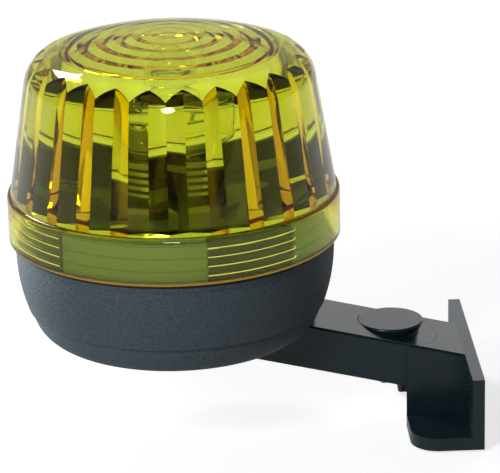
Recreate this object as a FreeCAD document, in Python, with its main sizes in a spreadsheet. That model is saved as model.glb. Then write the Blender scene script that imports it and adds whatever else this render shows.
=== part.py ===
"""Flashing warning light: a screw-on prismatic dome over a bowl base, carried by a sloping arm that
swivels in an L-shaped wall bracket.

Millimetres. The wall plate's back face is the plane x = 0 with its centre at the origin, +X points into
the wall and +Z is up. Lamp pieces are drawn about the lamp's own axis, with z = 0 at the plane where the
dome's rim sits, and are then placed on the arm.
"""
import FreeCAD, Part
import math
import os
import Sketcher

VECTOR = FreeCAD.Vector
doc = FreeCAD.newDocument("FlashingLight")
sheet = doc.addObject("Spreadsheet::Sheet", "Sizes")
sub_parts = []


class Size:
    """A number that keeps the formula it comes from, so that a property can be bound to that formula."""

    def __init__(self, formula, value):
        self.formula = formula
        self.value = value

    def __add__(self, other):
        other = as_size(other)
        return Size(f"({self.formula} + {other.formula})", self.value + other.value)

    def __sub__(self, other):
        other = as_size(other)
        return Size(f"({self.formula} - {other.formula})", self.value - other.value)

    def __mul__(self, other):
        other = as_size(other)
        return Size(f"({self.formula} * {other.formula})", self.value * other.value)

    def __truediv__(self, other):
        other = as_size(other)
        return Size(f"({self.formula} / {other.formula})", self.value / other.value)

    def __neg__(self):
        return Size(f"(0 - {self.formula})", -self.value)

    def __radd__(self, other):
        return as_size(other) + self

    def __rsub__(self, other):
        return as_size(other) - self

    def __rmul__(self, other):
        return as_size(other) * self


def as_size(number):
    if isinstance(number, Size):
        return number
    return Size(f"({number})", number)


def size(alias, value):
    """Put one driving dimension in the sheet."""
    row = size.row
    size.row += 1
    sheet.set(f"A{row}", alias.replace("_", " "))
    sheet.set(f"B{row}", str(value))
    sheet.setAlias(f"B{row}", alias)
    return Size(f"Sizes.{alias}", value)


size.row = 1


def root(square):
    return Size(f"sqrt({square.formula})", math.sqrt(square.value))


def sine(degrees):
    return Size(f"sin({degrees.formula})", math.sin(math.radians(degrees.value)))


def cosine(degrees):
    return Size(f"cos({degrees.formula})", math.cos(math.radians(degrees.value)))


def tangent(degrees):
    return Size(f"tan({degrees.formula})", math.tan(math.radians(degrees.value)))


# Wall bracket
plate_width = size("plate_width", 86.0)
plate_height = size("plate_height", 28.0)
plate_thick = size("plate_thick", 4.5)
shelf_depth = size("shelf_depth", 26.9)
shelf_thick = size("shelf_thick", 5.0)
shelf_corner = size("shelf_corner", 10.4)
ear_hole_spacing = size("ear_hole_spacing", 64.0)
ear_hole_radius = size("ear_hole_radius", 2.75)
bracket_wall = size("bracket_wall", 3.0)
bracket_web = size("bracket_web", 6.0)
tongue_thick = size("tongue_thick", 5.0)
tongue_half_width = size("tongue_half_width", 7.0)
tongue_level = size("tongue_level", 10.5)

# Swivel
pin_reach = size("pin_reach", 31.3)
knuckle_radius = size("knuckle_radius", 17.7)
socket_gap = size("socket_gap", 0.12)
slot_gap = size("slot_gap", 0.2)
bolt_radius = size("bolt_radius", 4.0)
bolt_gap = size("bolt_gap", 0.06)
bolt_head_radius = size("bolt_head_radius", 6.5)
bolt_head_height = size("bolt_head_height", 4.0)
bolt_tail = size("bolt_tail", 0.4)
fork_wall = size("fork_wall", 3.0)
cap_radius = size("cap_radius", 12.5)
cap_thick = size("cap_thick", 3.0)
cap_taper = size("cap_taper", 1.1)
cap_edge = size("cap_edge", 0.6)
cap_boss_inset = size("cap_boss_inset", 1.7)
plug_inset = size("plug_inset", 1.9)
plug_wall = size("plug_wall", 1.4)
plug_depth = size("plug_depth", 2.4)
washer_radius = size("washer_radius", 8.0)
washer_thick = size("washer_thick", 1.4)
washer_gap = size("washer_gap", 0.5)
nut_flat_width = size("nut_flat_width", 13.0)
nut_height = size("nut_height", 4.0)
nub_radius = size("nub_radius", 1.3)
nub_drop = size("nub_drop", 2.6)
nub_inset = size("nub_inset", 0.4)
cap_boss_radius = cap_radius - cap_boss_inset
plug_radius = cap_boss_radius - plug_inset

# Arm
arm_width = size("arm_width", 34.5)
arm_height = size("arm_height", 17.1)
arm_slope_angle = size("arm_slope_angle", 13.3)
edge_round = size("edge_round", 1.0)
arm_wall = size("arm_wall", 2.75)
arm_root_reach = size("arm_root_reach", 14.0)
knee_reach = size("knee_reach", 71.34)
channel_length = size("channel_length", 24.0)
channel_margin = size("channel_margin", 15.0)
root_pocket_length = size("root_pocket_length", 16.0)
arm_screw_span = size("arm_screw_span", 28.0)
arm_screw_near = size("arm_screw_near", 2.0)
arm_screw_side = size("arm_screw_side", 10.0)
arm_screw_length = size("arm_screw_length", 8.0)

# Dome, heights counted from the plane where it sits
lamp_reach = size("lamp_reach", 112.7)
fit_gap = size("fit_gap", 0.1)
collar_radius = size("collar_radius", 62.5)
collar_height = size("collar_height", 15.5)
collar_bevel = size("collar_bevel", 2.5)
collar_wall = size("collar_wall", 3.2)
collar_roof = size("collar_roof", 2.0)
collar_step = size("collar_step", 1.4)
side_taper = size("side_taper", 6.8)
shoulder_run = size("shoulder_run", 9.0)
shoulder_drop = size("shoulder_drop", 10.35)
shoulder_radius = size("shoulder_radius", 13.0)
crown_rise = size("crown_rise", 6.8)
dome_height = size("dome_height", 77.5)
dome_wall = size("dome_wall", 2.8)
flute_wall = size("flute_wall", 5.0)
flute_head_inset = size("flute_head_inset", 4.8)
flute_head_drop = size("flute_head_drop", 6.2)
flute_foot_depth = size("flute_foot_depth", 3.0)
flute_head_depth = size("flute_head_depth", 3.4)
flute_land_depth = size("flute_land_depth", 0.15)
flute_overrun_ratio = size("flute_overrun_ratio", 1.15)
flute_count = size("flute_count", 24)
flute_turn_angle = size("flute_turn_angle", 4.8)
ring_pitch = size("ring_pitch", 6.7)
ring_depth = size("ring_depth", 1.1)
ring_count = 6
collar_bore_radius = collar_radius - collar_wall
collar_bore_height = collar_height + collar_roof
side_radius = collar_radius - collar_step
shoulder_foot_radius = side_radius - side_taper
crown_edge_radius = shoulder_foot_radius - shoulder_run
crown_edge_height = dome_height - crown_rise
shoulder_foot_height = crown_edge_height - shoulder_drop
flute_foot_radius = side_radius - flute_wall
flute_head_radius = shoulder_foot_radius - flute_head_inset
flute_head_height = crown_edge_height - flute_head_drop

# Lamp base, which follows the dome's collar
thread_room = size("thread_room", 1.7)
spigot_wall = size("spigot_wall", 2.8)
spigot_room = size("spigot_room", 3.5)
spigot_foot_drop = size("spigot_foot_drop", 12.0)
rim_inset = size("rim_inset", 2.0)
rim_drop = size("rim_drop", 1.5)
rim_height = size("rim_height", 1.4)
seal_margin = size("seal_margin", 0.3)
seal_gap = size("seal_gap", 0.8)
bowl_step = size("bowl_step", 0.5)
bowl_upper_taper = size("bowl_upper_taper", 0.6)
bowl_lower_taper = size("bowl_lower_taper", 3.1)
bowl_mid_drop = size("bowl_mid_drop", 14.5)
bowl_curve = size("bowl_curve", 64.0)
foot_step = size("foot_step", 1.3)
foot_taper = size("foot_taper", 9.5)
foot_drop = size("foot_drop", 38.7)
foot_height = size("foot_height", 11.7)
foot_curve = size("foot_curve", 13.0)
foot_wall = size("foot_wall", 3.0)
foot_recess = size("foot_recess", 6.2)
floor_thick = size("floor_thick", 3.0)
floor_inset = size("floor_inset", 5.1)
pillar_radius = size("pillar_radius", 4.5)
pillar_inset = size("pillar_inset", 9.8)
pillar_turn_angle = size("pillar_turn_angle", 60.0)
pillar_count = 3
grommet_hole_radius = size("grommet_hole_radius", 6.0)
grommet_place = size("grommet_place", 28.0)
grommet_lip = size("grommet_lip", 1.8)
grommet_lip_thick = size("grommet_lip_thick", 1.5)
grommet_bore_radius = size("grommet_bore_radius", 3.5)
spigot_radius = collar_bore_radius - thread_room
spigot_bore_radius = spigot_radius - spigot_wall
spigot_height = collar_bore_height - spigot_room
rim_radius = collar_radius - rim_inset
seal_outer_radius = rim_radius - seal_margin
seal_inner_radius = spigot_radius + seal_gap
bowl_top_radius = rim_radius - bowl_step
bowl_mid_radius = bowl_top_radius - bowl_upper_taper
bowl_low_radius = bowl_mid_radius - bowl_lower_taper
bowl_low_drop = foot_drop - foot_height
foot_radius = bowl_low_radius - foot_taper
floor_drop = foot_drop - foot_recess
floor_inner_radius = bowl_low_radius - floor_inset
pillar_circle = spigot_bore_radius - pillar_inset

# Interrupted thread between dome and base
tooth_pitch = size("tooth_pitch", 3.4)
tooth_height = size("tooth_height", 1.3)
tooth_low = size("tooth_low", 2.4)
dome_tooth_depth = size("dome_tooth_depth", 1.0)
base_tooth_depth = size("base_tooth_depth", 1.1)
tooth_patch_angle = size("tooth_patch_angle", 35.0)
tooth_patch_turn_angle = size("tooth_patch_turn_angle", 298.0)
patch_count = 4
dome_tooth_count = 4
base_tooth_count = 3

# Inside the lamp
deck_gap = size("deck_gap", 0.3)
deck_thick = size("deck_thick", 2.0)
deck_drop = size("deck_drop", 2.0)
deck_cable_place = size("deck_cable_place", 42.0)
deck_cable_radius = size("deck_cable_radius", 7.0)
deck_screw_length = size("deck_screw_length", 10.0)
board_length = size("board_length", 72.0)
board_width = size("board_width", 50.0)
board_corner = size("board_corner", 4.0)
board_thick = size("board_thick", 1.6)
standoff_height = size("standoff_height", 6.0)
standoff_radius = size("standoff_radius", 3.0)
standoff_inset = size("standoff_inset", 5.0)
small_screw_radius = size("small_screw_radius", 1.5)
small_head_radius = size("small_head_radius", 2.8)
small_head_height = size("small_head_height", 1.8)
small_screw_length = size("small_screw_length", 5.0)
screw_radius = size("screw_radius", 2.0)
screw_head_radius = size("screw_head_radius", 3.8)
screw_head_height = size("screw_head_height", 2.4)
holder_radius = size("holder_radius", 10.5)
holder_flange_radius = size("holder_flange_radius", 13.0)
holder_flange_thick = size("holder_flange_thick", 2.0)
holder_height = size("holder_height", 7.5)
holder_floor = size("holder_floor", 1.2)
holder_bore_gap = size("holder_bore_gap", 0.4)
contact_thick = size("contact_thick", 0.5)
contact_width = size("contact_width", 3.0)
contact_length = size("contact_length", 9.0)
cap_shell_radius = size("cap_shell_radius", 6.95)
cap_shell_wall = size("cap_shell_wall", 0.9)
cap_shell_height = size("cap_shell_height", 17.5)
cap_shell_taper = size("cap_shell_taper", 2.0)
cap_thread_rise = size("cap_thread_rise", 3.0)
cap_thread_pitch = size("cap_thread_pitch", 2.8)
cap_thread_depth = size("cap_thread_depth", 0.5)
cap_thread_count = 5
tip_radius = size("tip_radius", 2.4)
tip_height = size("tip_height", 1.0)
glass_neck_radius = size("glass_neck_radius", 5.6)
glass_neck_depth = size("glass_neck_depth", 4.0)
glass_radius = size("glass_radius", 11.0)
glass_wall = size("glass_wall", 0.8)
glass_neck_rise = size("glass_neck_rise", 7.0)
glass_length = size("glass_length", 37.0)
stem_radius = size("stem_radius", 2.6)
stem_height = size("stem_height", 17.0)
lead_radius = size("lead_radius", 0.3)
lead_spread = size("lead_spread", 5.0)
lead_height = size("lead_height", 9.0)
filament_radius = size("filament_radius", 0.55)
capacitor_radius = size("capacitor_radius", 5.0)
capacitor_height = size("capacitor_height", 12.0)
capacitor_place = size("capacitor_place", 22.0)
capacitor_side = size("capacitor_side", 11.0)
thyristor_width = size("thyristor_width", 10.0)
thyristor_thick = size("thyristor_thick", 4.4)
thyristor_height = size("thyristor_height", 9.0)
thyristor_tab_height = size("thyristor_tab_height", 6.5)
thyristor_tab_thick = size("thyristor_tab_thick", 1.3)
thyristor_side = size("thyristor_side", 17.0)
resistor_length = size("resistor_length", 18.0)
resistor_width = size("resistor_width", 6.5)
resistor_side = size("resistor_side", 19.5)
diode_radius = size("diode_radius", 1.35)
diode_length = size("diode_length", 5.2)
diode_pitch = size("diode_pitch", 4.4)
diode_place = size("diode_place", 15.5)
diode_count = 4
terminal_length = size("terminal_length", 11.0)
terminal_depth = size("terminal_depth", 8.5)
terminal_height = size("terminal_height", 10.0)
terminal_pitch = size("terminal_pitch", 5.0)
terminal_place = size("terminal_place", 28.0)
terminal_mouth = size("terminal_mouth", 3.6)
terminal_mouth_rise = size("terminal_mouth_rise", 2.0)
terminal_mouth_depth = size("terminal_mouth_depth", 6.0)
terminal_well_depth = size("terminal_well_depth", 3.0)
terminal_screw_sink = size("terminal_screw_sink", 0.8)
terminal_screw_radius = size("terminal_screw_radius", 1.6)

# Levels and places that follow from the sizes above
plate_top = plate_height / 2
shelf_low = -plate_top
shelf_top = shelf_low + shelf_thick
pin_x = -pin_reach
lamp_x = -lamp_reach
slot_high = tongue_level + tongue_thick / 2 + slot_gap
slot_low = tongue_level - tongue_thick / 2 - slot_gap
head_seat = slot_high + fork_wall
nut_seat = slot_low - fork_wall
bolt_end = nut_seat - washer_thick - nut_height - bolt_tail
seat_rise = plate_top + (knee_reach - plate_thick) * tangent(arm_slope_angle) + floor_drop
floor_low = -floor_drop
floor_top = floor_low + floor_thick
deck_low = -deck_drop
deck_top = deck_low + deck_thick
board_low = deck_top + standoff_height
board_top = board_low + board_thick
tip_low = board_top + holder_floor + contact_thick
cap_shell_low = tip_low + tip_height
cap_shell_top = cap_shell_low + cap_shell_height


def arm_top(x):
    """Height of the arm's sloping top, which runs flush into the top of the wall plate."""
    return plate_top + (-plate_thick - x) * tangent(arm_slope_angle)


def bind(obj, **formulas):
    for name, value in formulas.items():
        obj.setExpression(name, as_size(value).formula)
    return obj


def place(obj, x=0, y=0, z=0):
    """Bind an object's position to the sheet."""
    for axis, value in (("x", x), ("y", y), ("z", z)):
        obj.setExpression(f"Placement.Base.{axis}", as_size(value).formula)
    return obj


def on_lamp(obj):
    """Move a piece that was drawn about the lamp's axis to its place on the arm."""
    return place(obj, lamp_x, 0, seat_rise)


def keep(obj, label):
    """Name a finished sub-part."""
    obj.Label = label
    sub_parts.append(obj)
    return obj


def arc_centre(start, end, radius, turn):
    """Centre of the arc from start to end, on the left or the right of the way."""
    middle = (start + end) / 2
    chord = end - start
    rise = math.sqrt(max(radius ** 2 - chord.Length ** 2 / 4, 0.0))
    across = VECTOR(-chord.y, chord.x, 0).normalize()
    return middle + across * (rise if turn == "left" else -rise)


def add_segment(sketch, start, end, bend):
    """Add one line or arc. Returns its number and which of its ends lies at start and at end."""
    if bend is None:
        return sketch.addGeometry(Part.LineSegment(start, end)), 1, 2
    radius, turn = bend
    centre = arc_centre(start, end, radius.value, turn)
    circle = Part.Circle(centre, VECTOR(0, 0, 1), radius.value)
    first, last = (start, end) if turn == "left" else (end, start)
    first_angle = math.atan2(first.y - centre.y, first.x - centre.x)
    last_angle = math.atan2(last.y - centre.y, last.x - centre.x)
    number = sketch.addGeometry(Part.ArcOfCircle(circle, first_angle, last_angle))
    radius_rule = sketch.addConstraint(Sketcher.Constraint("Radius", number, radius.value))
    sketch.setExpression(f"Constraints[{radius_rule}]", radius.formula)
    return (number, 1, 2) if turn == "left" else (number, 2, 1)


def pin_point(sketch, number, end, point):
    """Fix one corner of an outline at a pair of sizes from the sketch's origin."""
    for rule, axis, value in (("DistanceX", -2, point[0]), ("DistanceY", -1, point[1])):
        value = as_size(value)
        if value.formula == "(0)":
            sketch.addConstraint(Sketcher.Constraint("PointOnObject", number, end, axis))
        else:
            index = sketch.addConstraint(Sketcher.Constraint(rule, -1, 1, number, end, value.value))
            sketch.setExpression(f"Constraints[{index}]", value.formula)


def draw(sketch, outline):
    """Draw a closed outline. A corner is (x, y), or (x, y, radius, turn) where an arc leads to it."""
    corners = [VECTOR(as_size(p[0]).value, as_size(p[1]).value, 0) for p in outline]
    bends = [(as_size(p[2]), p[3]) if len(p) > 2 else None for p in outline]
    count = len(outline)
    ends = []
    for i in range(count):
        following = (i + 1) % count
        ends.append(add_segment(sketch, corners[i], corners[following], bends[following]))
    for i in range(count):
        number, start, end = ends[i]
        next_number, next_start, _ = ends[(i + 1) % count]
        sketch.addConstraint(Sketcher.Constraint("Coincident", number, end, next_number, next_start))
        pin_point(sketch, number, start, outline[i])


def origin_feature(body, role):
    return next(f for f in body.Origin.OriginFeatures if f.Role == role)


def sketch_in(body, name, plane, outline, lift=None):
    sketch = body.newObject("Sketcher::SketchObject", name)
    sketch.AttachmentSupport = [(origin_feature(body, plane), "")]
    sketch.MapMode = "FlatFace"
    if lift is not None:
        sketch.setExpression("AttachmentOffset.Base.z", as_size(lift).formula)
    draw(sketch, outline)
    return sketch


def turned(name, outline):
    """A body turned about its own Z axis from an outline of (radius, height)."""
    body = doc.addObject("PartDesign::Body", name)
    sketch = sketch_in(body, name + "_profile", "XZ_Plane", outline)
    turn = body.newObject("PartDesign::Revolution", name + "_turn")
    turn.Profile = sketch
    turn.ReferenceAxis = (sketch, ["V_Axis"])
    turn.Angle = 360
    body.Tip = turn
    return body


def padded(name, plane, outline, length, lift):
    """A body padded from an outline on one of its origin planes."""
    body = doc.addObject("PartDesign::Body", name)
    sketch = sketch_in(body, name + "_profile", plane, outline, lift)
    pad = body.newObject("PartDesign::Pad", name + "_pad")
    pad.Profile = sketch
    bind(pad, Length=length)
    body.Tip = pad
    return body


def plan_pad(name, outline, low, high):
    """A pad between two heights from an outline of (x, y)."""
    return padded(name, "XY_Plane", outline, as_size(high) - low, low)


def side_pad(name, outline, width):
    """A pad of a given width, centred on y = 0, from an outline of (x, z)."""
    return padded(name, "XZ_Plane", outline, width, -as_size(width) / 2)


def round_long_edges(body, radius, height_at):
    """Round the edges of a side pad that run along it at a given height."""
    doc.recompute()
    names = []
    for i, edge in enumerate(body.Shape.Edges):
        first, last = (vertex.Point for vertex in edge.Vertexes)
        at_height = all(abs(p.z - height_at(p.x)) < 0.001 for p in (first, last))
        if at_height and abs(first.y - last.y) < 0.001:
            names.append(f"Edge{i + 1}")
    pad = body.Tip
    fillet = body.newObject("PartDesign::Fillet", body.Name + "_round")
    fillet.Base = (pad, names)
    bind(fillet, Radius=radius)
    body.Tip = fillet
    return body


def rounded_rectangle(x_low, x_high, y_low, y_high, corner):
    return [
        (x_low + corner, y_low, corner, "left"),
        (x_high - corner, y_low),
        (x_high, y_low + corner, corner, "left"),
        (x_high, y_high - corner),
        (x_high - corner, y_high, corner, "left"),
        (x_low + corner, y_high),
        (x_low, y_high - corner, corner, "left"),
        (x_low, y_low + corner),
    ]


def box(name, x, y, z, length, width, height):
    """A block from its lowest corner and its three lengths."""
    block = doc.addObject("Part::Box", name)
    bind(block, Length=length, Width=width, Height=height)
    return place(block, x, y, z)


def rod(name, x, y, low, high, radius):
    """An upright cylinder between two heights."""
    cylinder = doc.addObject("Part::Cylinder", name)
    bind(cylinder, Radius=radius, Height=as_size(high) - low)
    return place(cylinder, x, y, low)


def cut(name, base, *tools):
    result = doc.addObject("Part::Cut", name)
    result.Base = base
    result.Tool = tools[0] if len(tools) == 1 else fuse(name + "_tools", *tools)
    return result


def fuse(name, *pieces):
    result = doc.addObject("Part::MultiFuse", name)
    result.Shapes = list(pieces)
    return result


def common(name, first, second):
    result = doc.addObject("Part::MultiCommon", name)
    result.Shapes = [first, second]
    return result


def group(name, pieces):
    """Separate solids that share one sub-part."""
    result = doc.addObject("Part::Compound", name)
    result.Links = list(pieces)
    return result


def along_x(name, x_low, x_high, y, z, radius):
    """A cylinder that lies along X."""
    cylinder = doc.addObject("Part::Cylinder", name)
    cylinder.Placement = FreeCAD.Placement(VECTOR(), FreeCAD.Rotation(VECTOR(0, 1, 0), 90))
    bind(cylinder, Radius=radius, Height=as_size(x_high) - x_low)
    return place(cylinder, x_low, y, z)


def mirrored_pair(spread):
    return (("left", spread), ("right", -spread))


def make_bracket():
    half = plate_width / 2
    plate = box("plate", -plate_thick, -half, shelf_low, plate_thick, plate_width, plate_height)
    shelf_outline = [
        (shelf_corner - shelf_depth, -half, shelf_corner, "left"),
        (0, -half),
        (0, half),
        (shelf_corner - shelf_depth, half),
        (-shelf_depth, half - shelf_corner, shelf_corner, "left"),
        (-shelf_depth, shelf_corner - half),
    ]
    shelf = plan_pad("shelf", shelf_outline, shelf_low, shelf_top)
    block_outline = [
        (-shelf_depth, shelf_low),
        (-plate_thick, shelf_low),
        (-plate_thick, plate_top),
        (-shelf_depth, arm_top(-shelf_depth)),
    ]
    block = side_pad("block", block_outline, arm_width)
    round_long_edges(block, edge_round, lambda x: arm_top(as_size(x)).value)

    socket_radius = knuckle_radius + socket_gap
    socket_back = pin_x + socket_radius
    socket = rod("socket", pin_x, 0, shelf_low, plate_top + arm_height, socket_radius)
    core_width = arm_width / 2 - bracket_wall - bracket_web / 2
    core_start = socket_back + bracket_wall
    core_height = plate_top - bracket_wall - shelf_top
    cores = [
        box(f"core_{side}", core_start, y, shelf_top, -core_start, core_width, core_height)
        for side, y in (("left", bracket_web / 2), ("right", -bracket_web / 2 - core_width))
    ]
    ear_holes = [
        along_x(f"ear_hole_{side}", -plate_thick, 0, y, 0, ear_hole_radius)
        for side, y in mirrored_pair(ear_hole_spacing / 2)
    ]
    shell = cut("bracket_shell", fuse("bracket_blank", plate, shelf, block), socket, *cores, *ear_holes)

    tongue_low = tongue_level - tongue_thick / 2
    tongue_high = tongue_level + tongue_thick / 2
    tongue_length = socket_back + bracket_wall / 2 - pin_x
    tongue = box("tongue", pin_x, -tongue_half_width, tongue_low, tongue_length, tongue_half_width * 2,
                 tongue_thick)
    eye = rod("tongue_eye", pin_x, 0, tongue_low, tongue_high, tongue_half_width)
    bolt_hole = rod("tongue_hole", pin_x, 0, tongue_low, tongue_high, bolt_radius + bolt_gap)
    keep(cut("wall_bracket", fuse("bracket_with_tongue", shell, tongue, eye), bolt_hole), "wall_bracket")


def arm_envelope(name, clearance):
    """The arm's outer block: a sloping bar whose root lies flat under the lamp's floor."""
    root_top = seat_rise + floor_low + clearance
    root_x = lamp_x - arm_root_reach
    tip_x = pin_x + knuckle_radius
    drop = arm_height + clearance
    outline = [
        (root_x, arm_top(root_x) - drop),
        (tip_x, arm_top(tip_x) - drop),
        (tip_x, arm_top(tip_x) + clearance),
        (-knee_reach, root_top),
        (root_x, root_top),
    ]
    bar = side_pad(name + "_bar", outline, arm_width + clearance * 2)
    round_long_edges(bar, edge_round, lambda x: (arm_top(as_size(x)) + clearance).value)
    root_radius = arm_width / 2
    root_centre = root_x + root_radius
    low = shelf_low
    high = seat_rise
    strip = box(name + "_strip", root_centre, -arm_width, low, pin_x - root_centre, arm_width * 2, high - low)
    root_end = rod(name + "_root", root_centre, 0, low, high, root_radius + clearance)
    knuckle = rod(name + "_knuckle", pin_x, 0, low, high, knuckle_radius)
    return common(name, bar, fuse(name + "_plan", strip, root_end, knuckle))


def arm_screw_places():
    """Screw centres through the lamp's floor, counted from the lamp's axis."""
    rows = (("near", arm_screw_near), ("far", arm_screw_near + arm_screw_span))
    return [(f"{row}_{side}", x, y) for row, x in rows for side, y in mirrored_pair(arm_screw_side)]


def cap_top():
    """The swivel cap lies level and meets the sloping arm at the cap's lamp side."""
    return arm_top(pin_x - cap_radius)


def make_arm():
    inner_width = arm_width - arm_wall * 2
    boss_top = cap_top() - cap_thick
    boss = rod("cap_boss", pin_x, 0, slot_high, boss_top, cap_boss_radius)
    flank_end = pin_x + root(knuckle_radius * knuckle_radius - arm_width * arm_width / 4)
    flank_low = arm_top(flank_end) - arm_height
    nubs = [
        rod(f"nub_{side}", flank_end - nub_radius, y, flank_low - nub_drop, flank_low + arm_wall, nub_radius)
        for side, y in mirrored_pair(arm_width / 2 - nub_inset - nub_radius)
    ]
    body = fuse("arm_body", arm_envelope("arm_block", as_size(0.0)), boss, *nubs)

    channel_end = pin_x - channel_margin
    channel_start = channel_end - channel_length
    channel_outline = [
        (channel_start, arm_top(channel_start) - arm_height - arm_wall),
        (channel_end, arm_top(channel_end) - arm_height - arm_wall),
        (channel_end, arm_top(channel_end) - arm_wall),
        (channel_start, arm_top(channel_start) - arm_wall),
    ]
    channel = side_pad("arm_channel", channel_outline, inner_width)
    pocket_x = lamp_x + arm_screw_near + arm_screw_span / 2 - root_pocket_length / 2
    pocket_top = seat_rise + floor_low - arm_wall
    pocket = box("root_pocket", pocket_x, -inner_width / 2, shelf_low, root_pocket_length, inner_width,
                 pocket_top - shelf_low)
    slot_start = pin_x - tongue_half_width - bracket_wall
    slot_length = knuckle_radius * 2
    slot = box("tongue_slot", slot_start, -inner_width / 2, slot_low, slot_length, inner_width,
               slot_high - slot_low)
    plug_low = boss_top - plug_depth - fit_gap
    head_room = bolt_head_radius + (plug_radius - plug_wall - bolt_head_radius) / 2
    recesses = [
        rod("cap_recess", pin_x, 0, boss_top, boss_top + arm_height, cap_radius + fit_gap),
        rod("plug_recess", pin_x, 0, plug_low, boss_top, plug_radius + fit_gap),
        rod("head_recess", pin_x, 0, head_seat, boss_top, head_room),
        rod("bolt_way", pin_x, 0, shelf_low, head_seat, bolt_radius + bolt_gap),
        rod("nut_recess", pin_x, 0, shelf_low, nut_seat, washer_radius + washer_gap),
    ]
    screw_low = seat_rise + floor_low - arm_screw_length
    pilot_holes = [
        rod(f"arm_pilot_{key}", lamp_x + x, y, screw_low, seat_rise, screw_radius + fit_gap / 2)
        for key, x, y in arm_screw_places()
    ]
    keep(cut("support_arm", body, channel, pocket, slot, *recesses, *pilot_holes), "support_arm")


def make_swivel():
    top = cap_top()
    under = top - cap_thick
    cap_outline = [
        (0, under),
        (plug_radius - plug_wall, under),
        (plug_radius - plug_wall, under - plug_depth),
        (plug_radius, under - plug_depth),
        (plug_radius, under),
        (cap_radius - cap_taper, under),
        (cap_radius, top - cap_edge),
        (cap_radius - cap_edge, top, cap_edge, "left"),
        (0, top),
    ]
    keep(place(turned("swivel_cap", cap_outline), pin_x), "swivel_cap")
    bolt_outline = [
        (0, bolt_end),
        (bolt_radius, bolt_end),
        (bolt_radius, head_seat),
        (bolt_head_radius, head_seat),
        (bolt_head_radius, head_seat + bolt_head_height),
        (0, head_seat + bolt_head_height),
    ]
    keep(place(turned("swivel_bolt", bolt_outline), pin_x), "swivel_bolt")
    washer_low = nut_seat - washer_thick
    ring = rod("washer_disc", pin_x, 0, washer_low, nut_seat, washer_radius)
    hole = rod("washer_hole", pin_x, 0, washer_low, nut_seat, bolt_radius + fit_gap)
    keep(cut("swivel_washer", ring, hole), "swivel_washer")
    nut_low = washer_low - nut_height
    hexagon = doc.addObject("Part::Prism", "nut_hexagon")
    hexagon.Polygon = 6
    bind(hexagon, Circumradius=nut_flat_width / root(as_size(3)), Height=nut_height)
    place(hexagon, pin_x, 0, nut_low)
    thread = rod("nut_thread", pin_x, 0, nut_low, washer_low, bolt_radius + fit_gap / 2)
    keep(cut("swivel_nut", hexagon, thread), "swivel_nut")


def turned_about(radius, degrees):
    """Place on a circle about the lamp's axis."""
    angle = as_size(degrees)
    return radius * cosine(angle), radius * sine(angle)


def patches(name, low, high):
    """Four upright sectors where the interrupted thread has its teeth."""
    reach = collar_radius / cosine(tooth_patch_angle / 2)
    sectors = []
    for i in range(patch_count):
        middle = tooth_patch_turn_angle + i * 360 / patch_count
        start = turned_about(reach, middle - tooth_patch_angle / 2)
        end = turned_about(reach, middle + tooth_patch_angle / 2)
        sectors.append(plan_pad(f"{name}_{i + 1}", [(0, 0), start, end], low, high))
    return fuse(name, *sectors)


def comb(name, back, face, tip, first, count):
    """A ring of level teeth on a thin backing that lies inside the wall it belongs to."""
    outline = [(back, first - tooth_height), (face, first - tooth_height)]
    for i in range(count):
        low = first + tooth_pitch * i
        outline += [(face, low), (tip, low), (tip, low + tooth_height), (face, low + tooth_height)]
    end = first + tooth_pitch * (count - 1) + tooth_height * 2
    outline += [(face, end), (back, end)]
    return turned(name, outline)


def make_base():
    rim_low = -rim_drop - rim_height
    foot_inner = foot_radius - foot_wall
    profile = [
        (spigot_bore_radius, spigot_height),
        (spigot_radius, spigot_height),
        (spigot_radius, -rim_drop),
        (rim_radius, -rim_drop),
        (rim_radius, rim_low),
        (bowl_top_radius, rim_low),
        (bowl_mid_radius, -bowl_mid_drop, bowl_curve, "right"),
        (bowl_low_radius, -bowl_low_drop, bowl_curve, "right"),
        (bowl_low_radius - foot_step, -bowl_low_drop),
        (foot_radius, -foot_drop, foot_curve, "right"),
        (foot_inner, -foot_drop),
        (foot_inner, floor_low),
        (0, floor_low),
        (0, floor_top),
        (floor_inner_radius, floor_top),
        (spigot_bore_radius, -spigot_foot_drop),
    ]
    bowl = turned("bowl", profile)
    tooth_first = tooth_low + tooth_pitch / 2
    teeth_ring = comb("base_comb", spigot_radius - spigot_wall / 2, spigot_radius,
                      spigot_radius + base_tooth_depth, tooth_first, base_tooth_count)
    teeth = common("base_teeth", teeth_ring, patches("base_sectors", -rim_drop, spigot_height))
    pillars = []
    pilots = []
    for i in range(pillar_count):
        x, y = turned_about(pillar_circle, pillar_angle(i))
        pillars.append(rod(f"pillar_{i + 1}", x, y, floor_top, deck_low, pillar_radius))
        pilots.append(rod(f"pillar_pilot_{i + 1}", x, y, floor_top, deck_low, screw_radius + fit_gap / 2))
    arm_holes = [
        rod(f"floor_hole_{key}", x, y, floor_low, floor_top, screw_radius + fit_gap)
        for key, x, y in arm_screw_places()
    ]
    inlet = rod("inlet_hole", -grommet_place, 0, floor_low, floor_top, grommet_hole_radius)
    notch = place(arm_envelope("arm_notch", fit_gap), lamp_reach, 0, -seat_rise)
    blank = fuse("base_blank", bowl, teeth, *pillars)
    keep(on_lamp(cut("base_bowl", blank, notch, inlet, *arm_holes, *pilots)), "base_bowl")


def pillar_angle(i):
    return pillar_turn_angle + i * 360 / pillar_count


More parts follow.
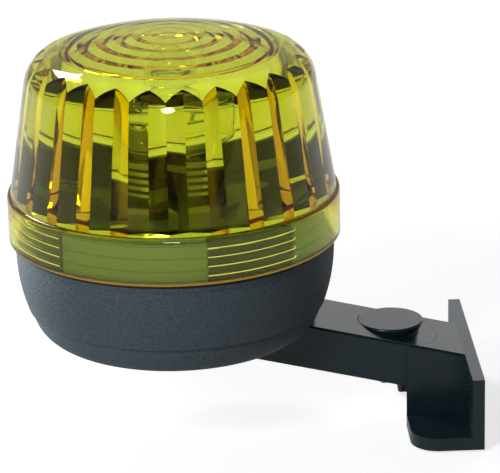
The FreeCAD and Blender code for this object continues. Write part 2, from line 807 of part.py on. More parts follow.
def make_dome():
    collar_top = collar_height + collar_bevel
    crown_radius = (crown_edge_radius * crown_edge_radius + crown_rise * crown_rise) / (crown_rise * 2)
    crown_centre = dome_height - crown_radius
    profile = [
        (0, 0),
        (collar_radius, 0),
        (collar_radius, collar_height),
        (side_radius, collar_top),
        (shoulder_foot_radius, shoulder_foot_height),
        (crown_edge_radius, crown_edge_height, shoulder_radius, "left"),
        (0, dome_height, crown_radius, "left"),
    ]
    blank = turned("dome_blank", profile)

    inner_radius = crown_radius - dome_wall
    edge_share = inner_radius / crown_radius
    edge_radius = crown_edge_radius * edge_share
    edge_height = crown_centre + (crown_edge_height - crown_centre) * edge_share

    def ceiling(radius):
        return crown_centre + root(inner_radius * inner_radius - radius * radius)

    cavity = [
        (0, -dome_wall),
        (collar_bore_radius, -dome_wall),
        (collar_bore_radius, collar_bore_height),
        (flute_foot_radius - flute_land_depth, collar_bore_height),
        (flute_head_radius - flute_land_depth, flute_head_height),
        (edge_radius, edge_height, shoulder_radius - dome_wall, "left"),
        (ring_pitch * ring_count, ceiling(ring_pitch * ring_count), inner_radius, "left"),
    ]
    for i in range(ring_count, 0, -1):
        tip = ring_pitch * (i - 0.5)
        cavity.append((tip, ceiling(tip) - ring_depth))
        valley = ring_pitch * (i - 1) if i > 1 else 0
        cavity.append((valley, ceiling(as_size(valley))))
    core = turned("dome_core", cavity)
    cut_flutes(core)

    teeth_ring = comb("dome_comb", collar_bore_radius + dome_wall / 2, collar_bore_radius,
                      collar_bore_radius - dome_tooth_depth, tooth_low, dome_tooth_count)
    teeth = common("dome_teeth", teeth_ring, patches("dome_sectors", 0, collar_bore_height))
    shell = cut("dome_shell", blank, core)
    keep(on_lamp(fuse("lens", shell, teeth)), "lens")


def flute_section(share):
    """Triangle of one prism ridge at a share of the way from the collar to the shoulder."""
    half_pitch = as_size(180) / flute_count
    outer = flute_foot_radius + (flute_head_radius - flute_foot_radius) * share
    depth = flute_foot_depth + (flute_head_depth - flute_foot_depth) * share
    inner = outer - depth
    run = outer * cosine(half_pitch) - inner
    side = outer * sine(half_pitch)
    base = inner + run * flute_overrun_ratio
    corners = [(inner, as_size(0.0)), (base, side * flute_overrun_ratio), (base, -side * flute_overrun_ratio)]
    across = cosine(flute_turn_angle)
    along = sine(flute_turn_angle)
    return [(x * across - y * along, x * along + y * across) for x, y in corners]


def cut_flutes(core):
    """Take the prism ridges out of the dome's core, so that they stay standing in the dome."""
    low_height = collar_bore_height
    high_height = low_height + (flute_head_height - low_height) * flute_overrun_ratio
    low = sketch_in(core, "flute_low", "XY_Plane", flute_section(as_size(0.0)), low_height)
    high = sketch_in(core, "flute_high", "XY_Plane", flute_section(flute_overrun_ratio), high_height)
    ridge = core.newObject("PartDesign::SubtractiveLoft", "flute_ridge")
    ridge.Profile = low
    ridge.Sections = [high]
    ridge.Ruled = True
    ring = core.newObject("PartDesign::PolarPattern", "flute_ring")
    ring.Originals = [ridge]
    ring.Axis = (origin_feature(core, "Z_Axis"), [""])
    ring.Angle = 360
    bind(ring, Occurrences=flute_count)
    core.Tip = ring


def make_seal():
    height = rim_drop - fit_gap
    ring = rod("seal_ring", 0, 0, -rim_drop, height - rim_drop, seal_outer_radius)
    hole = rod("seal_hole", 0, 0, -rim_drop, height - rim_drop, seal_inner_radius)
    keep(on_lamp(cut("lens_seal", ring, hole)), "lens_seal")


def make_grommet():
    lip = grommet_hole_radius + grommet_lip
    neck = grommet_hole_radius - fit_gap / 2
    low = floor_low - grommet_lip_thick
    high = floor_top + grommet_lip_thick
    profile = [
        (grommet_bore_radius, low),
        (neck, low),
        (lip, floor_low - fit_gap / 2),
        (neck, floor_low - fit_gap / 2),
        (neck, floor_top + fit_gap / 2),
        (lip, floor_top + fit_gap / 2),
        (neck, high),
        (grommet_bore_radius, high),
    ]
    keep(place(turned("cable_grommet", profile), lamp_x - grommet_place, 0, seat_rise), "cable_grommet")


def screw(name, x, y, seat, length, shank, head, head_height):
    """A pan-head screw whose head rests at seat."""
    shaft = rod(name + "_shaft", x, y, as_size(seat) - length, seat, shank)
    top = rod(name + "_head", x, y, seat, as_size(seat) + head_height, head)
    return fuse(name, shaft, top)


def make_screws():
    arm_screws = [
        screw(f"arm_screw_{key}", x, y, floor_top, floor_thick + arm_screw_length - fit_gap, screw_radius,
              screw_head_radius, screw_head_height)
        for key, x, y in arm_screw_places()
    ]
    keep(on_lamp(group("arm_screws", arm_screws)), "arm_screws")
    deck_screws = []
    for i in range(pillar_count):
        x, y = turned_about(pillar_circle, pillar_angle(i))
        deck_screws.append(screw(f"deck_screw_{i + 1}", x, y, deck_top, deck_screw_length, screw_radius,
                                 screw_head_radius, screw_head_height))
    keep(on_lamp(group("deck_screws", deck_screws)), "deck_screws")
    board_screws = [
        screw(f"board_screw_{key}", x, y, board_top, small_screw_length, small_screw_radius,
              small_head_radius, small_head_height)
        for key, x, y in standoff_places()
    ]
    keep(on_lamp(group("board_screws", board_screws)), "board_screws")


def standoff_places():
    x_far = board_length / 2 - standoff_inset
    y_far = board_width / 2 - standoff_inset
    return [(f"{end}_{side}", x, y) for end, x in mirrored_pair(x_far) for side, y in mirrored_pair(y_far)]


def make_deck():
    disc = rod("deck_disc", 0, 0, deck_low, deck_top, spigot_bore_radius - deck_gap)
    holes = [rod("deck_cable_way", -deck_cable_place, 0, deck_low, deck_top, deck_cable_radius)]
    for i in range(pillar_count):
        x, y = turned_about(pillar_circle, pillar_angle(i))
        holes.append(rod(f"deck_hole_{i + 1}", x, y, deck_low, deck_top, screw_radius + fit_gap))
    keep(on_lamp(cut("base_deck", disc, *holes)), "base_deck")
    standoffs = []
    for key, x, y in standoff_places():
        post = rod(f"post_{key}", x, y, deck_top, board_low, standoff_radius)
        hole = rod(f"post_hole_{key}", x, y, deck_top, board_low, small_screw_radius + fit_gap / 2)
        standoffs.append(cut(f"standoff_{key}", post, hole))
    keep(on_lamp(group("board_standoffs", standoffs)), "board_standoffs")


def make_board():
    half_length = board_length / 2
    half_width = board_width / 2
    outline = rounded_rectangle(-half_length, half_length, -half_width, half_width, board_corner)
    sheet_of_board = plan_pad("board_sheet", outline, board_low, board_top)
    holes = [
        rod(f"board_hole_{key}", x, y, board_low, board_top, small_screw_radius + fit_gap)
        for key, x, y in standoff_places()
    ]
    keep(on_lamp(cut("circuit_board", sheet_of_board, *holes)), "circuit_board")


def make_holder():
    bore = cap_shell_radius + holder_bore_gap
    floor = board_top + holder_floor
    profile = [
        (0, board_top),
        (holder_flange_radius, board_top),
        (holder_flange_radius, board_top + holder_flange_thick),
        (holder_radius, board_top + holder_flange_thick),
        (holder_radius, board_top + holder_height),
        (bore, board_top + holder_height),
        (bore, floor),
        (0, floor),
    ]
    keep(on_lamp(turned("lamp_holder", profile)), "lamp_holder")
    spring = box("holder_contact", lamp_x - contact_length / 2, -contact_width / 2, seat_rise + floor,
                 contact_length, contact_width, contact_thick)
    keep(spring, "holder_contact")


def make_bulb():
    inner = cap_shell_radius - cap_shell_wall
    shell = [(0, cap_shell_low), (tip_radius, cap_shell_low), (inner, cap_shell_low + cap_shell_taper)]
    thread_start = cap_shell_low + cap_thread_rise
    for i in range(cap_thread_count):
        crest = thread_start + cap_thread_pitch * i
        shell.append((cap_shell_radius - cap_thread_depth, crest))
        shell.append((cap_shell_radius, crest + cap_thread_pitch / 2))
    bottom = cap_shell_top - glass_neck_depth
    shell += [
        (cap_shell_radius - cap_thread_depth, cap_shell_top),
        (inner, cap_shell_top),
        (inner, bottom),
        (0, bottom),
    ]
    keep(on_lamp(turned("bulb_cap", shell)), "bulb_cap")
    tip_run = tip_radius / 2
    tip_rise = tip_height / 2
    tip_curve = (tip_run * tip_run + tip_rise * tip_rise) / (tip_rise * 2)
    tip = [
        (0, tip_low),
        (tip_run, tip_low),
        (tip_radius, tip_low + tip_rise, tip_curve, "left"),
        (tip_radius, cap_shell_low),
        (0, cap_shell_low),
    ]
    keep(on_lamp(turned("bulb_contact", tip)), "bulb_contact")

    neck_top = cap_shell_top + glass_neck_rise
    side_top = cap_shell_top + glass_length - glass_radius
    bulb_top = cap_shell_top + glass_length
    inner_neck = glass_neck_radius - glass_wall
    inner_glass = glass_radius - glass_wall
    glass = [
        (inner_neck, bottom),
        (glass_neck_radius, bottom),
        (glass_neck_radius, cap_shell_top),
        (glass_radius, neck_top),
        (glass_radius, side_top),
        (0, bulb_top, glass_radius, "left"),
        (0, bulb_top - glass_wall),
        (inner_glass, side_top, inner_glass, "right"),
        (inner_glass, neck_top),
        (inner_neck, cap_shell_top),
    ]
    keep(on_lamp(turned("bulb_glass", glass)), "bulb_glass")
    stem_top = bottom + stem_height
    stem = [
        (0, bottom),
        (inner_neck - fit_gap, bottom),
        (stem_radius, bottom + glass_neck_depth),
        (stem_radius / 2, stem_top),
        (0, stem_top),
    ]
    keep(on_lamp(turned("bulb_stem", stem)), "bulb_stem")
    foot_level = stem_top + filament_radius
    coil_level = foot_level + lead_height
    half_span = lead_spread + filament_radius
    leads = [
        rod(f"lead_{side}", x, 0, foot_level, coil_level, lead_radius)
        for side, x in mirrored_pair(lead_spread)
    ]
    foot = along_x("lead_foot", -half_span, half_span, 0, foot_level, filament_radius)
    coil = along_x("coil", -half_span, half_span, 0, coil_level, filament_radius)
    keep(on_lamp(fuse("bulb_filament", foot, coil, *leads)), "bulb_filament")


def make_electronics():
    capacitor_top = board_top + capacitor_height
    capacitors = [
        rod(f"capacitor_{side}", capacitor_place, y, board_top, capacitor_top, capacitor_radius)
        for side, y in mirrored_pair(capacitor_side)
    ]
    keep(on_lamp(group("flash_capacitors", capacitors)), "flash_capacitors")

    body = box("thyristor_body", -thyristor_width / 2, thyristor_side, board_top, thyristor_width,
               thyristor_thick, thyristor_height)
    tab_y = thyristor_side + thyristor_thick - thyristor_tab_thick
    tab = box("thyristor_tab", -thyristor_width / 2, tab_y, board_top + thyristor_height, thyristor_width,
              thyristor_tab_thick, thyristor_tab_height)
    keep(on_lamp(fuse("thyristor", body, tab)), "thyristor")

    resistor = box("drop_resistor", lamp_x - resistor_length / 2, -resistor_side - resistor_width / 2,
                   seat_rise + board_top, resistor_length, resistor_width, resistor_width)
    keep(resistor, "drop_resistor")

    diodes = []
    for i in range(diode_count):
        y = diode_pitch * (i - (diode_count - 1) / 2)
        low = -diode_place - diode_length
        diodes.append(along_x(f"diode_{i + 1}", low, -diode_place, y, board_top + diode_radius, diode_radius))
    keep(on_lamp(group("diodes", diodes)), "diodes")


def make_terminal():
    x = -terminal_place - terminal_depth / 2
    mouth_low = board_top + terminal_mouth_rise
    block = box("terminal_body", x, -terminal_length / 2, board_top, terminal_depth, terminal_length,
                terminal_height)
    tools = []
    screws = []
    screw_high = board_top + terminal_height
    screw_low = screw_high - terminal_well_depth
    for side, y in mirrored_pair(terminal_pitch / 2):
        tools.append(box(f"terminal_mouth_{side}", x, y - terminal_mouth / 2, mouth_low, terminal_mouth_depth,
                         terminal_mouth, terminal_mouth))
        tools.append(rod(f"terminal_well_{side}", -terminal_place, y, screw_low, screw_high,
                         terminal_screw_radius + fit_gap))
        screws.append(rod(f"terminal_screw_{side}", -terminal_place, y, screw_low,
                          screw_high - terminal_screw_sink, terminal_screw_radius))
    keep(on_lamp(cut("terminal_block", block, *tools)), "terminal_block")
    keep(on_lamp(group("terminal_screws", screws)), "terminal_screws")


def check_and_write():
    """Stop on any failed object, then write one file for each sub-part."""
    doc.recompute()
    failed = [o.Name for o in doc.Objects if "Invalid" in o.State or "Error" in o.State]
    failed += [p.Label for p in sub_parts if p.Shape.isNull() or not p.Shape.isValid()]
    if failed:
        raise RuntimeError("These objects failed: " + ", ".join(failed))
    os.makedirs("parts", exist_ok=True)
    for part in sub_parts:
        part.Shape.exportStep(f"parts/{part.Label}.step")
        print(part.Label, len(part.Shape.Solids), round(part.Shape.Volume, 1))


make_bracket()
make_arm()
make_swivel()
make_base()
make_seal()
make_grommet()
make_dome()
make_deck()
make_board()
make_holder()
make_bulb()
make_electronics()
make_terminal()
make_screws()
check_and_write()
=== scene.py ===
"""Looks of the flashing warning light: a clear yellow prismatic dome on a dark bowl, arm and wall bracket."""
import math

import bpy
from mathutils import Matrix, Quaternion, Vector


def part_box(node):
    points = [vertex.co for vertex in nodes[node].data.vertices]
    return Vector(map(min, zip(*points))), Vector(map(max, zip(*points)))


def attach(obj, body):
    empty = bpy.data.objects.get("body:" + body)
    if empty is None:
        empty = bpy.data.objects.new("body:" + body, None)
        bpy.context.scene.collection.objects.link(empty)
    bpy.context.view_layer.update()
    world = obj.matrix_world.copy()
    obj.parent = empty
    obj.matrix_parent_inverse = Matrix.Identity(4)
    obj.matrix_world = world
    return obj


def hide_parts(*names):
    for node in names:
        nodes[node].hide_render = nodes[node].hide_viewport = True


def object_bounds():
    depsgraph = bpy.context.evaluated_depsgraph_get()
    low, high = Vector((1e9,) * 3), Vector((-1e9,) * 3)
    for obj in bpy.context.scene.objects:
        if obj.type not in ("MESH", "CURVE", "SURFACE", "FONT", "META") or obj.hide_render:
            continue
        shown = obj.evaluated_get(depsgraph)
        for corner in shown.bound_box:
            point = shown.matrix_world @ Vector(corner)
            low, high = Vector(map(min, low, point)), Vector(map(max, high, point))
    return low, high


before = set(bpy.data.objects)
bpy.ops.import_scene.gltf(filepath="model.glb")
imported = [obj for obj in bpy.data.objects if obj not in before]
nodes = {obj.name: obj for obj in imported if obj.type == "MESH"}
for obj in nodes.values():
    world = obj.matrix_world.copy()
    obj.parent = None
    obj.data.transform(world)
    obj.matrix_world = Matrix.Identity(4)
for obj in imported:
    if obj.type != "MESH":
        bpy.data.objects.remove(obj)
cad_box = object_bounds()

MM = 0.001

# The lamp's axis and the plane where the dome's rim sits
dome_low, dome_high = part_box("lens")
LAMP_X = (dome_low.x + dome_high.x) / 2
SEAT_Z = dome_low.z

# Dome sizes in millimetres and degrees, heights above the seat
COLLAR_RADIUS = (dome_high.x - dome_low.x) / 2 / MM
DOME_HEIGHT = (dome_high.z - dome_low.z) / MM
COLLAR_HEIGHT = 15.5
COLLAR_FOOT_ROUND = 0.5
COLLAR_TOP_RISE = 0.7
COLLAR_TOP_ROUND = 1.6
SIDE_FOOT_STEP = (0.1, 0.3)
SIDE_RADIUS = 61.1
SIDE_HEIGHT = 18.0
SHOULDER_FOOT = (54.3, 60.35)
SHOULDER_RADIUS = 13.0
CROWN_EDGE = (45.3, 70.7)
DOME_WALL = 2.8
BORE_RADIUS = 59.3
BORE_HEIGHT = 17.5
BORE_BEVEL = 0.4
FLUTE_FOOT_RADIUS = 56.1
FLUTE_HEAD = (49.5, 64.5)
FLUTE_FOOT_DEPTH = 3.0
FLUTE_HEAD_DEPTH = 3.4
FLUTE_COUNT = 24
FLUTE_TURN = 4.8
FLUTE_STEPS = 12
FACE_ROWS = 8
CEILING_ROWS = 10
HALVINGS = 40
RING_PITCH = 6.7
RING_DEPTH = 1.1
RING_COUNT = 6
TOOTH_PITCH = 3.4
TOOTH_HEIGHT = 1.3
TOOTH_LOW = 2.4
TOOTH_DEPTH = 1.0
TOOTH_FLANK = 0.35
TOOTH_COUNT = 4
PATCH_COUNT = 4
PATCH_TURN = 298.0
PATCH_ANGLE = 35.0
PATCH_END_WIDTH = 0.08
DOME_SHARP_ANGLE = 25

# Places where a material's painted glow, highlight or shade changes, in millimetres, heights above the seat
PAINTED_GLOW_HEIGHT = 0.55
SPIGOT_MIDDLE = 56.2
GROOVE_PITCH = 4.6
GROOVE_LOW = 4.4

# Shading and stage, lengths in metres
SOLID_SHARP_ANGLE = 30
NOISE_REACH = (0.3, 0.7)
FLOOR_GAP = 0.001
FLOOR_REACH = 6.0
AIM_HEIGHT = 0.06


def line_points(start, end, steps):
    """Points after start up to end on a straight run."""
    return [
        (start[0] + (end[0] - start[0]) * i / steps, start[1] + (end[1] - start[1]) * i / steps)
        for i in range(1, steps + 1)
    ]


def arc_centre(start, end, radius):
    """Centre of an arc from start to end, to the left of the way."""
    middle = ((start[0] + end[0]) / 2, (start[1] + end[1]) / 2)
    chord = (end[0] - start[0], end[1] - start[1])
    length = math.hypot(*chord)
    rise = math.sqrt(radius ** 2 - length ** 2 / 4)
    return middle[0] - chord[1] / length * rise, middle[1] + chord[0] / length * rise


def arc_points(start, end, radius, steps):
    """Points after start up to end on an arc whose centre lies to the left of the way."""
    centre = arc_centre(start, end, radius)
    first = math.atan2(start[1] - centre[1], start[0] - centre[0])
    last = math.atan2(end[1] - centre[1], end[0] - centre[0])
    angles = [first + (last - first) * i / steps for i in range(1, steps + 1)]
    return [(centre[0] + radius * math.cos(a), centre[1] + radius * math.sin(a)) for a in angles]


# Sizes of the dome that follow from the others
CROWN_RISE = DOME_HEIGHT - CROWN_EDGE[1]
CROWN_RADIUS = (CROWN_EDGE[0] ** 2 + CROWN_RISE ** 2) / (2 * CROWN_RISE)
CROWN_CENTRE = DOME_HEIGHT - CROWN_RADIUS
INNER_CROWN = CROWN_RADIUS - DOME_WALL
INNER_EDGE = (
    CROWN_EDGE[0] * INNER_CROWN / CROWN_RADIUS,
    CROWN_CENTRE + (CROWN_EDGE[1] - CROWN_CENTRE) * INNER_CROWN / CROWN_RADIUS,
)
INNER_SHOULDER = SHOULDER_RADIUS - DOME_WALL
SHOULDER_CENTRE = arc_centre(FLUTE_HEAD, INNER_EDGE, INNER_SHOULDER)
RING_EDGE = RING_PITCH * RING_COUNT


def ceiling(radius):
    """Height of the dome's inside, without rings, at a distance from the axis."""
    if radius > INNER_EDGE[0]:
        return SHOULDER_CENTRE[1] + math.sqrt(INNER_SHOULDER ** 2 - (radius - SHOULDER_CENTRE[0]) ** 2)
    return CROWN_CENTRE + math.sqrt(INNER_CROWN ** 2 - radius ** 2)


def flute_radius(offset, height):
    """Distance from the axis to the prism face, at an angle from the ridge's own middle."""
    share = (height - BORE_HEIGHT) / (FLUTE_HEAD[1] - BORE_HEIGHT)
    valley = FLUTE_FOOT_RADIUS + (FLUTE_HEAD[0] - FLUTE_FOOT_RADIUS) * share
    ridge = valley - FLUTE_FOOT_DEPTH - (FLUTE_HEAD_DEPTH - FLUTE_FOOT_DEPTH) * share
    half = math.pi / FLUTE_COUNT
    valley_x = valley * math.cos(half)
    valley_y = valley * math.sin(half)
    cross = ridge * valley_y
    return cross / (valley_y * math.cos(offset) - (valley_x - ridge) * math.sin(offset))


def arch_radius(offset):
    """Where a prism face runs into the ceiling, by halving the interval."""
    low, high = RING_EDGE, FLUTE_HEAD[0]
    for _ in range(HALVINGS):
        middle = (low + high) / 2
        if flute_radius(offset, ceiling(middle)) > middle:
            low = middle
        else:
            high = middle
    return (low + high) / 2


def outer_profile():
    """The outside of the dome, from the rim to just short of the axis."""
    collar_end = (SIDE_RADIUS + SIDE_FOOT_STEP[0], SIDE_HEIGHT - SIDE_FOOT_STEP[1])
    points = [(COLLAR_RADIUS - COLLAR_FOOT_ROUND, 0.0)]
    points += arc_points(points[-1], (COLLAR_RADIUS, COLLAR_FOOT_ROUND), COLLAR_FOOT_ROUND, 3)
    points += line_points(points[-1], (COLLAR_RADIUS, COLLAR_HEIGHT + COLLAR_TOP_RISE), 2)
    points += arc_points(points[-1], collar_end, COLLAR_TOP_ROUND, 6)
    points += line_points(points[-1], (SIDE_RADIUS, SIDE_HEIGHT), 1)
    points += line_points(points[-1], SHOULDER_FOOT, 12)
    points += arc_points(points[-1], CROWN_EDGE, SHOULDER_RADIUS, 14)
    points += arc_points(points[-1], (0.0, DOME_HEIGHT), CROWN_RADIUS, 18)
    return points[:-1]


def inner_profile(angle):
    """The inside of the dome at one angle, from the rim to just short of the axis."""
    pitch = 2 * math.pi / FLUTE_COUNT
    offset = abs((angle - math.radians(FLUTE_TURN) + pitch / 2) % pitch - pitch / 2)
    patch_pitch = 360.0 / PATCH_COUNT
    from_patch = (math.degrees(angle) - PATCH_TURN + patch_pitch / 2) % patch_pitch - patch_pitch / 2
    tip = BORE_RADIUS - TOOTH_DEPTH if abs(from_patch) < PATCH_ANGLE / 2 else BORE_RADIUS
    points = [(BORE_RADIUS + BORE_BEVEL, 0.0), (BORE_RADIUS, BORE_BEVEL)]
    for i in range(TOOTH_COUNT):
        low = TOOTH_LOW + TOOTH_PITCH * i
        high = low + TOOTH_HEIGHT
        points += [(BORE_RADIUS, low), (tip, low + TOOTH_FLANK)]
        points += [(tip, high - TOOTH_FLANK), (BORE_RADIUS, high)]
    points.append((BORE_RADIUS, BORE_HEIGHT))
    head = arch_radius(offset)
    top = ceiling(head)
    for i in range(FACE_ROWS + 1):
        height = BORE_HEIGHT + (top - BORE_HEIGHT) * i / FACE_ROWS
        points.append((flute_radius(offset, height), height))
    for i in range(1, CEILING_ROWS + 1):
        radius = head + (RING_EDGE - head) * i / CEILING_ROWS
        points.append((radius, ceiling(radius)))
    for i in range(RING_COUNT, 0, -1):
        tip_radius = RING_PITCH * (i - 0.5)
        points.append((tip_radius, ceiling(tip_radius) - RING_DEPTH))
        if i > 1:
            valley = RING_PITCH * (i - 1)
            points.append((valley, ceiling(valley)))
    return points


def column_angles():
    """Angles of the mesh's columns: each prism face, and both sides of each thread patch's ends."""
    steps = FLUTE_COUNT * FLUTE_STEPS
    angles = [math.radians(FLUTE_TURN) + 2 * math.pi * i / steps for i in range(steps)]
    for i in range(PATCH_COUNT):
        for side in (-1, 1):
            end = PATCH_TURN + 360.0 / PATCH_COUNT * i + side * PATCH_ANGLE / 2
            angles += [math.radians(end - PATCH_END_WIDTH / 2), math.radians(end + PATCH_END_WIDTH / 2)]
    return sorted(a % (2 * math.pi) for a in angles)


def lathe_mesh(name, columns, end_heights):
    """A closed mesh from profiles at given angles, whose two ends meet the axis at the end heights."""
    vertices = []
    faces = []
    rows = len(columns[0][1])
    count = len(columns)
    for angle, profile in columns:
        for radius, height in profile:
            vertices.append((
                LAMP_X + radius * MM * math.cos(angle),
                radius * MM * math.sin(angle),
                SEAT_Z + height * MM,
            ))
    for i in range(count):
        a = i * rows
        b = (i + 1) % count * rows
        for j in range(rows - 1):
            faces.append((a + j, b + j, b + j + 1, a + j + 1))
    ends = []
    for height in end_heights:
        ends.append(len(vertices))
        vertices.append((LAMP_X, 0.0, SEAT_Z + height * MM))
    for i in range(count):
        a = i * rows
        b = (i + 1) % count * rows
        faces.append((a, ends[0], b))
        faces.append((b + rows - 1, ends[1], a + rows - 1))
    mesh = bpy.data.meshes.new(name)
    mesh.from_pydata(vertices, [], faces)
    mesh.validate()
    mesh.update()
    return mesh


def make_dome():
    """The yellow dome, which stands for the solid of the same shape."""
    outer = outer_profile()
    columns = []
    for angle in column_angles():
        inner = inner_profile(angle)
        columns.append((angle, list(reversed(inner)) + outer))
    mesh = lathe_mesh("dome", columns, (ceiling(0.0), DOME_HEIGHT))
    dome = bpy.data.objects.new("dome", mesh)
    bpy.context.scene.collection.objects.link(dome)
    smooth_by_angle([dome], DOME_SHARP_ANGLE)
    dome.data.materials.append(yellow_acrylic())
    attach(dome, "dome")
    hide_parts("lens")


def smooth_by_angle(objects, degrees):
    """Give objects a modifier for smooth shading, sharp where faces meet at more than an angle."""
    tree = bpy.data.node_groups.new("smooth_by_angle", "GeometryNodeTree")
    for way in ("INPUT", "OUTPUT"):
        tree.interface.new_socket("Geometry", in_out=way, socket_type="NodeSocketGeometry")
    start = tree.nodes.new("NodeGroupInput")
    end = tree.nodes.new("NodeGroupOutput")
    faces = tree.nodes.new("GeometryNodeSetShadeSmooth")
    edges = tree.nodes.new("GeometryNodeSetShadeSmooth")
    edges.domain = "EDGE"
    set_values(edges, Shade_Smooth=False)
    angle = tree.nodes.new("GeometryNodeInputMeshEdgeAngle").outputs["Unsigned Angle"]
    tree.links.new(math_node(tree, "GREATER_THAN", angle, math.radians(degrees)), edges.inputs["Selection"])
    for source, target in ((start, faces), (faces, edges), (edges, end)):
        tree.links.new(source.outputs[0], target.inputs[0])
    for obj in objects:
        obj.modifiers.new("smooth_by_angle", "NODES").node_group = tree


def new_material(name):
    """A material with its node tree and its main shader."""
    material = bpy.data.materials.new(name)
    material.use_nodes = True
    tree = material.node_tree
    return material, tree, tree.nodes["Principled BSDF"]


def set_values(node, **values):
    """Set a node's inputs by name, with underscores for spaces."""
    for name, value in values.items():
        node.inputs[name.replace("_", " ")].default_value = value


def add_noise(tree, scale, detail):
    """A noise that stays with the object."""
    coordinates = tree.nodes.new("ShaderNodeTexCoord")
    noise = tree.nodes.new("ShaderNodeTexNoise")
    set_values(noise, Scale=scale, Detail=detail)
    tree.links.new(coordinates.outputs["Object"], noise.inputs["Vector"])
    return noise


def add_bump(tree, shader, noise, strength, distance):
    """Let a noise roughen a surface."""
    bump = tree.nodes.new("ShaderNodeBump")
    set_values(bump, Strength=strength, Distance=distance)
    tree.links.new(noise.outputs["Fac"], bump.inputs["Height"])
    tree.links.new(bump.outputs["Normal"], shader.inputs["Normal"])


def add_variation(tree, shader, noise, socket, low, high):
    """Let a noise move a shader value or colour between two ends."""
    if isinstance(low, tuple):
        result = mix_colours(tree, noise.outputs["Fac"], low, high)
    else:
        result = add_range(tree, noise.outputs["Fac"], NOISE_REACH, (low, high), "LINEAR")
    tree.links.new(result, shader.inputs[socket])


def math_node(tree, operation, *values):
    """A maths node whose inputs are numbers or other nodes' outputs."""
    node = tree.nodes.new("ShaderNodeMath")
    node.operation = operation
    for socket, value in zip(node.inputs, values):
        if isinstance(value, (int, float)):
            socket.default_value = value
        else:
            tree.links.new(value, socket)
    return node.outputs[0]


def mix_colours(tree, factor, low, high):
    """A blend of two colours, each a colour or another node's output."""
    node = tree.nodes.new("ShaderNodeMix")
    node.data_type = "RGBA"
    tree.links.new(factor, node.inputs[0])
    for socket, value in ((node.inputs[6], low), (node.inputs[7], high)):
        if isinstance(value, tuple):
            socket.default_value = value
        else:
            tree.links.new(value, socket)
    return node.outputs[2]


def add_range(tree, socket, source, target, way="SMOOTHSTEP"):
    """A value taken from one range to another, by a soft step unless another way is given."""
    step = tree.nodes.new("ShaderNodeMapRange")
    step.interpolation_type = way
    set_values(step, From_Min=source[0], From_Max=source[1], To_Min=target[0], To_Max=target[1])
    tree.links.new(socket, step.inputs["Value"])
    return step.outputs["Result"]


def lamp_place(tree):
    """Distance from the lamp's axis, turn about it and height, of the point that is shaded."""
    coordinates = tree.nodes.new("ShaderNodeTexCoord")
    parts = tree.nodes.new("ShaderNodeSeparateXYZ")
    tree.links.new(coordinates.outputs["Object"], parts.inputs["Vector"])
    across = math_node(tree, "SUBTRACT", parts.outputs["X"], LAMP_X)
    along = parts.outputs["Y"]
    square = math_node(tree, "MULTIPLY_ADD", across, across, math_node(tree, "MULTIPLY", along, along))
    return math_node(tree, "SQRT", square), math_node(tree, "ARCTAN2", along, across), parts.outputs["Z"]


def yellow_acrylic():
    """Clear dyed plastic: yellow-green through a thin wall, orange along a thick one, and at the rim an
    opaque amber band painted as the glow of light led along the wall.
    """
    material, tree, shader = new_material("yellow_acrylic")
    set_values(shader, IOR=1.49)
    add_variation(tree, shader, add_noise(tree, 90.0, 3.0), "Roughness", 0.01, 0.03)
    height = lamp_place(tree)[2]
    # Painted glow: below this height the rim is opaque amber, a painted stand-in for light led along the wall
    # to its edge
    clear = math_node(tree, "GREATER_THAN", height, SEAT_Z + PAINTED_GLOW_HEIGHT * MM)
    tint_and_painted_glow = mix_colours(tree, clear, (0.8, 0.5, 0.06, 1), (0.73, 0.83, 0.42, 1))
    tree.links.new(tint_and_painted_glow, shader.inputs["Base Color"])
    tree.links.new(clear, shader.inputs["Transmission Weight"])
    absorption = tree.nodes.new("ShaderNodeVolumeAbsorption")
    set_values(absorption, Color=(0.95, 0.89, 0.1, 1), Density=200.0)
    tree.links.new(absorption.outputs["Volume"], tree.nodes["Material Output"].inputs["Volume"])
    return material


def plastic(name, colour, roughness, grain_scale, grain_depth, contrast=0.15, sheen=0.5):
    """Moulded plastic whose colour, polish and surface follow one fine grain."""
    material, tree, shader = new_material(name)
    set_values(shader, Specular_IOR_Level=sheen)
    noise = add_noise(tree, grain_scale, 3.0)
    light = tuple(c * (1 + contrast) for c in colour)
    dark = tuple(c * (1 - contrast) for c in colour)
    add_variation(tree, shader, noise, "Base Color", dark + (1,), light + (1,))
    add_variation(tree, shader, noise, "Roughness", roughness * 0.85, roughness * 1.15)
    add_bump(tree, shader, noise, 0.35, grain_depth)
    return material


